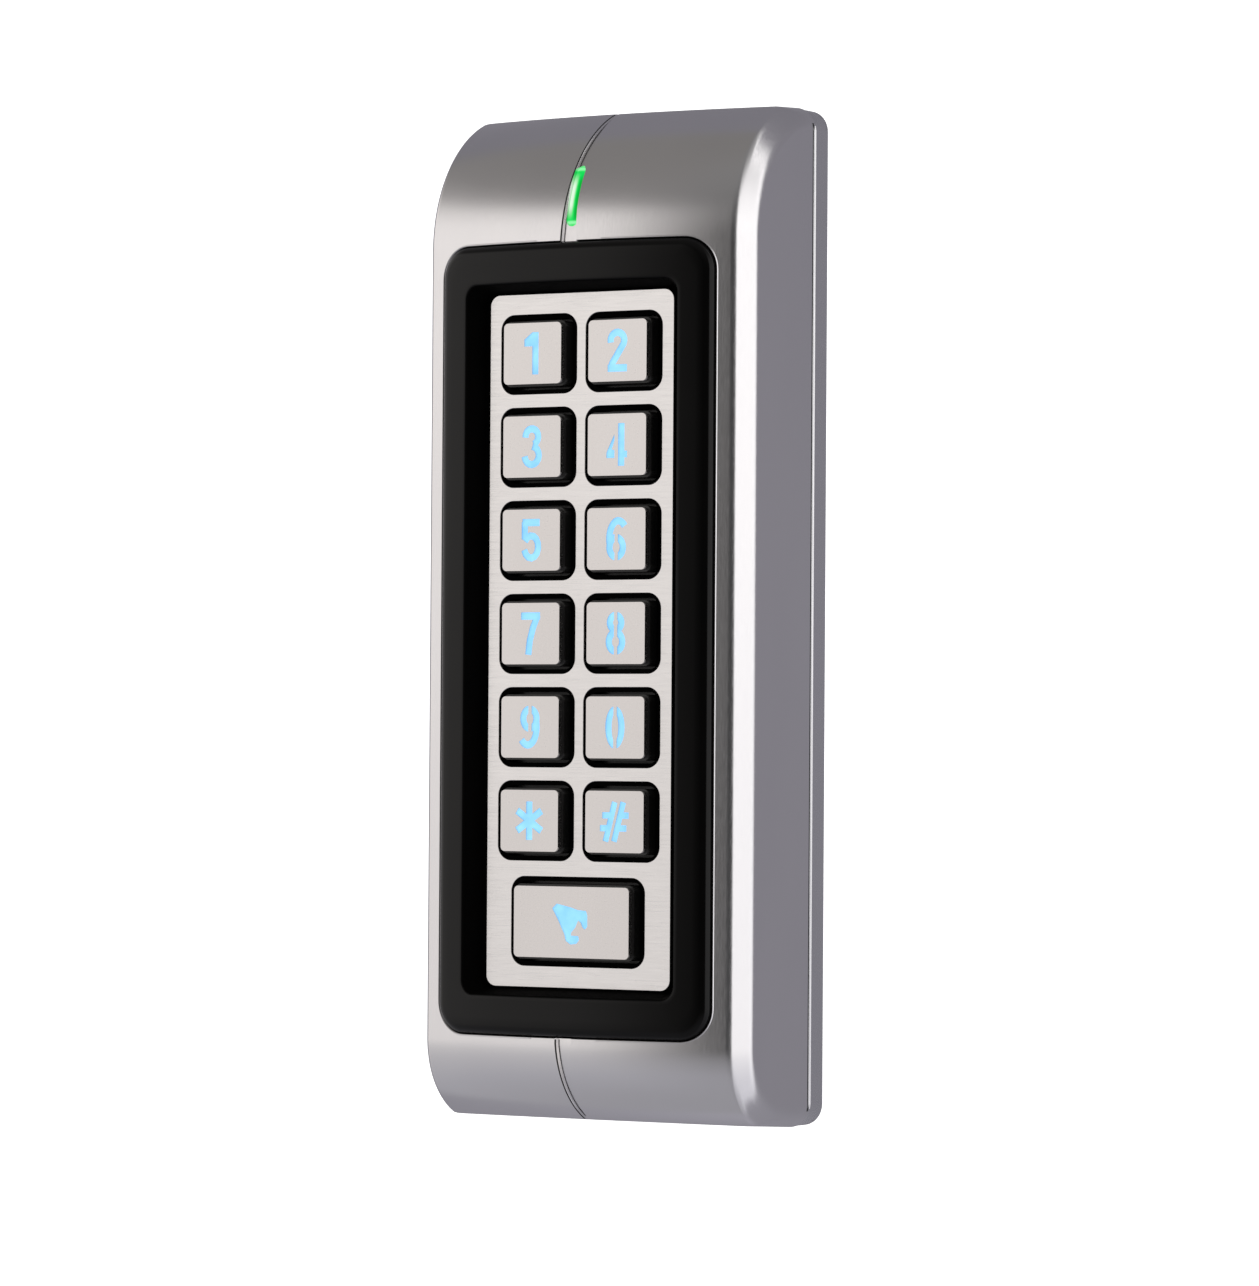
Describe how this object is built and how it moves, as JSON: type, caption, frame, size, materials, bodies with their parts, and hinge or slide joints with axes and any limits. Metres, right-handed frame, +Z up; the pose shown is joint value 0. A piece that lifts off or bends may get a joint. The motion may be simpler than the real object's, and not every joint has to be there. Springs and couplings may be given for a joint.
{
  "type": "keypad access reader",
  "caption": "Wall-mounted metal keypad access reader with lit stencil-cut push keys in a black bezel, a bell key and a status light.",
  "frame": {"origin": "middle of the flat back face that meets the wall", "axes": "+X across the reader, to the right as seen from the front; +Y into the wall; +Z up. The keypad faces -Y"},
  "size_m": [0.048, 0.0242, 0.128],
  "materials": {
    "satin_case": "satin nickel plated zinc die casting with a fine vertical brush",
    "satin_back": "satin nickel plated zinc plate, slightly darker",
    "bezel_black": "gloss black moulding",
    "keypad_steel": "fine satin stainless sheet",
    "key_metal": "satin metal key caps",
    "legend_blue": "translucent light guide, lit sky blue",
    "key_black": "black key carriers with a soft sheen",
    "status_green": "translucent light pipe, lit green",
    "silicone": "translucent silicone rubber",
    "circuit_board": "glass-epoxy board with green mask",
    "led_body": "white LED packages",
    "chip_black": "moulded black",
    "capacitor_can": "plain aluminium cans",
    "relay_case": "white relay housing",
    "coil_copper": null,
    "inner_plastic": "dark grey moulding",
    "gasket_rubber": "black rubber",
    "screw_steel": "plated steel screws"
  },
  "bodies": {
    "reader": {"front_housing": "satin_case", "bezel": "bezel_black", "keypad_plate": "keypad_steel", "status_light_pipe": "status_green", "keypad_mat": "silicone", "main_board": "circuit_board", "backlight_leds": "led_body", "status_led": "led_body", "board_chips": "chip_black", "capacitors": "capacitor_can", "relay": "relay_case", "buzzer": "chip_black", "antenna_coil": "coil_copper", "inner_cover": "inner_plastic", "sealing_gasket": "gasket_rubber", "cable_grommet": "gasket_rubber", "back_cover": "satin_back", "cover_screws": "screw_steel", "locking_screw": "screw_steel"},
    "key_1": {"key_1_cap": "key_metal", "key_1_legend": "legend_blue", "key_1_carrier": "key_black"},
    "key_2": {"key_2_cap": "key_metal", "key_2_legend": "legend_blue", "key_2_carrier": "key_black"},
    "key_3": {"key_3_cap": "key_metal", "key_3_legend": "legend_blue", "key_3_carrier": "key_black"},
    "key_4": {"key_4_cap": "key_metal", "key_4_legend": "legend_blue", "key_4_carrier": "key_black"},
    "key_5": {"key_5_cap": "key_metal", "key_5_legend": "legend_blue", "key_5_carrier": "key_black"},
    "key_6": {"key_6_cap": "key_metal", "key_6_legend": "legend_blue", "key_6_carrier": "key_black"},
    "key_7": {"key_7_cap": "key_metal", "key_7_legend": "legend_blue", "key_7_carrier": "key_black"},
    "key_8": {"key_8_cap": "key_metal", "key_8_legend": "legend_blue", "key_8_carrier": "key_black"},
    "key_9": {"key_9_cap": "key_metal", "key_9_legend": "legend_blue", "key_9_carrier": "key_black"},
    "key_0": {"key_0_cap": "key_metal", "key_0_legend": "legend_blue", "key_0_carrier": "key_black"},
    "key_star": {"key_star_cap": "key_metal", "key_star_legend": "legend_blue", "key_star_carrier": "key_black"},
    "key_hash": {"key_hash_cap": "key_metal", "key_hash_legend": "legend_blue", "key_hash_carrier": "key_black"},
    "key_bell": {"key_bell_cap": "key_metal", "key_bell_legend": "legend_blue", "key_bell_carrier": "key_black"}
  },
  "joints": [
    {"name": "press_1", "type": "slide", "parent": "reader", "child": "key_1", "axis": [0, 1, 0], "range_m": [0, 0.001], "stiffness_N_per_m": 800, "springref_m": -0.0005, "deforming": ["keypad_mat"]},
    {"name": "press_2", "type": "slide", "parent": "reader", "child": "key_2", "axis": [0, 1, 0], "range_m": [0, 0.001], "stiffness_N_per_m": 800, "springref_m": -0.0005, "deforming": ["keypad_mat"]},
    {"name": "press_3", "type": "slide", "parent": "reader", "child": "key_3", "axis": [0, 1, 0], "range_m": [0, 0.001], "stiffness_N_per_m": 800, "springref_m": -0.0005, "deforming": ["keypad_mat"]},
    {"name": "press_4", "type": "slide", "parent": "reader", "child": "key_4", "axis": [0, 1, 0], "range_m": [0, 0.001], "stiffness_N_per_m": 800, "springref_m": -0.0005, "deforming": ["keypad_mat"]},
    {"name": "press_5", "type": "slide", "parent": "reader", "child": "key_5", "axis": [0, 1, 0], "range_m": [0, 0.001], "stiffness_N_per_m": 800, "springref_m": -0.0005, "deforming": ["keypad_mat"]},
    {"name": "press_6", "type": "slide", "parent": "reader", "child": "key_6", "axis": [0, 1, 0], "range_m": [0, 0.001], "stiffness_N_per_m": 800, "springref_m": -0.0005, "deforming": ["keypad_mat"]},
    {"name": "press_7", "type": "slide", "parent": "reader", "child": "key_7", "axis": [0, 1, 0], "range_m": [0, 0.001], "stiffness_N_per_m": 800, "springref_m": -0.0005, "deforming": ["keypad_mat"]},
    {"name": "press_8", "type": "slide", "parent": "reader", "child": "key_8", "axis": [0, 1, 0], "range_m": [0, 0.001], "stiffness_N_per_m": 800, "springref_m": -0.0005, "deforming": ["keypad_mat"]},
    {"name": "press_9", "type": "slide", "parent": "reader", "child": "key_9", "axis": [0, 1, 0], "range_m": [0, 0.001], "stiffness_N_per_m": 800, "springref_m": -0.0005, "deforming": ["keypad_mat"]},
    {"name": "press_0", "type": "slide", "parent": "reader", "child": "key_0", "axis": [0, 1, 0], "range_m": [0, 0.001], "stiffness_N_per_m": 800, "springref_m": -0.0005, "deforming": ["keypad_mat"]},
    {"name": "press_star", "type": "slide", "parent": "reader", "child": "key_star", "axis": [0, 1, 0], "range_m": [0, 0.001], "stiffness_N_per_m": 800, "springref_m": -0.0005, "deforming": ["keypad_mat"]},
    {"name": "press_hash", "type": "slide", "parent": "reader", "child": "key_hash", "axis": [0, 1, 0], "range_m": [0, 0.001], "stiffness_N_per_m": 800, "springref_m": -0.0005, "deforming": ["keypad_mat"]},
    {"name": "press_bell", "type": "slide", "parent": "reader", "child": "key_bell", "axis": [0, 1, 0], "range_m": [0, 0.001], "stiffness_N_per_m": 800, "springref_m": -0.0005, "deforming": ["keypad_mat"]}
  ]
}
